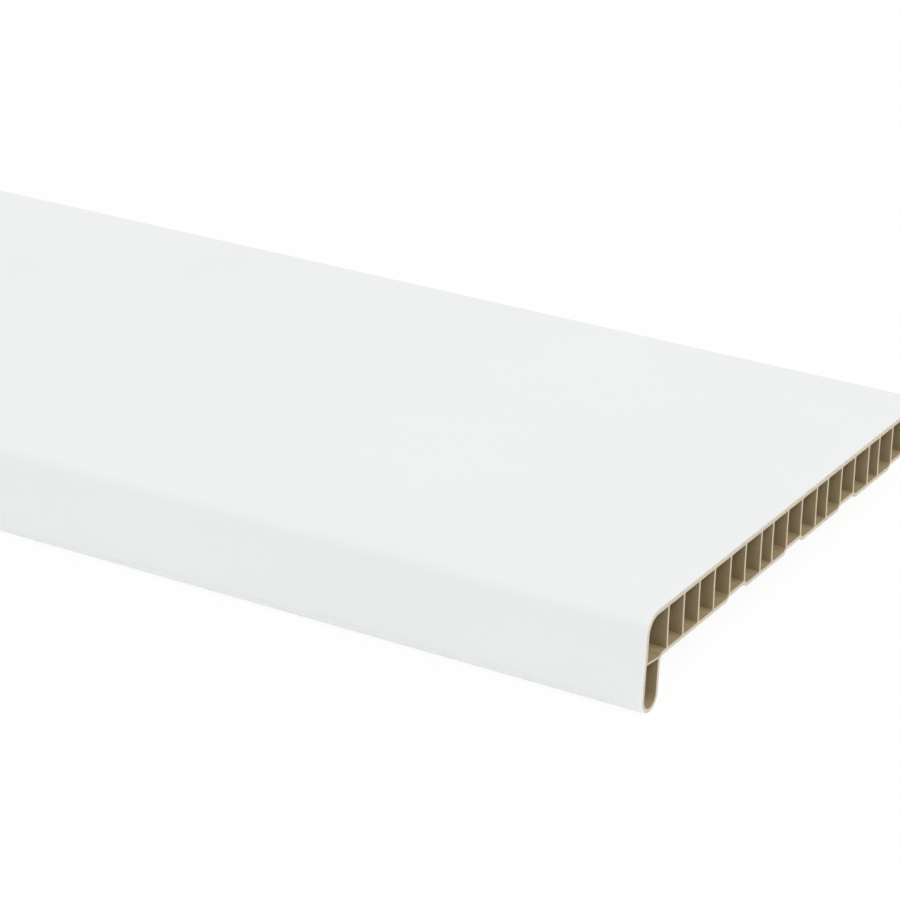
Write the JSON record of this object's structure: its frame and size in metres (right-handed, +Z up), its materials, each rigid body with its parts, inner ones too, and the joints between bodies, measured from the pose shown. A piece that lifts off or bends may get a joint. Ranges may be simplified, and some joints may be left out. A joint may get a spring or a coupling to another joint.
{
  "type": "window sill board",
  "caption": "Hollow multi-chamber plastic window sill board with a rounded drop nose, a grooved underside and a white facing film, cut square at both ends.",
  "frame": {"origin": "middle of the board's length and depth, at the height of the nose's lowest line", "axes": "+X along the board, +Y from the nose to the window, +Z up out of the white top face"},
  "size_m": [1, 0.25, 0.0403],
  "materials": {
    "cream_pvc": "matt",
    "white_film": "satin"
  },
  "bodies": {
    "root": {"hollow_profile": "cream_pvc", "face_film": "white_film"}
  },
  "joints": []
}
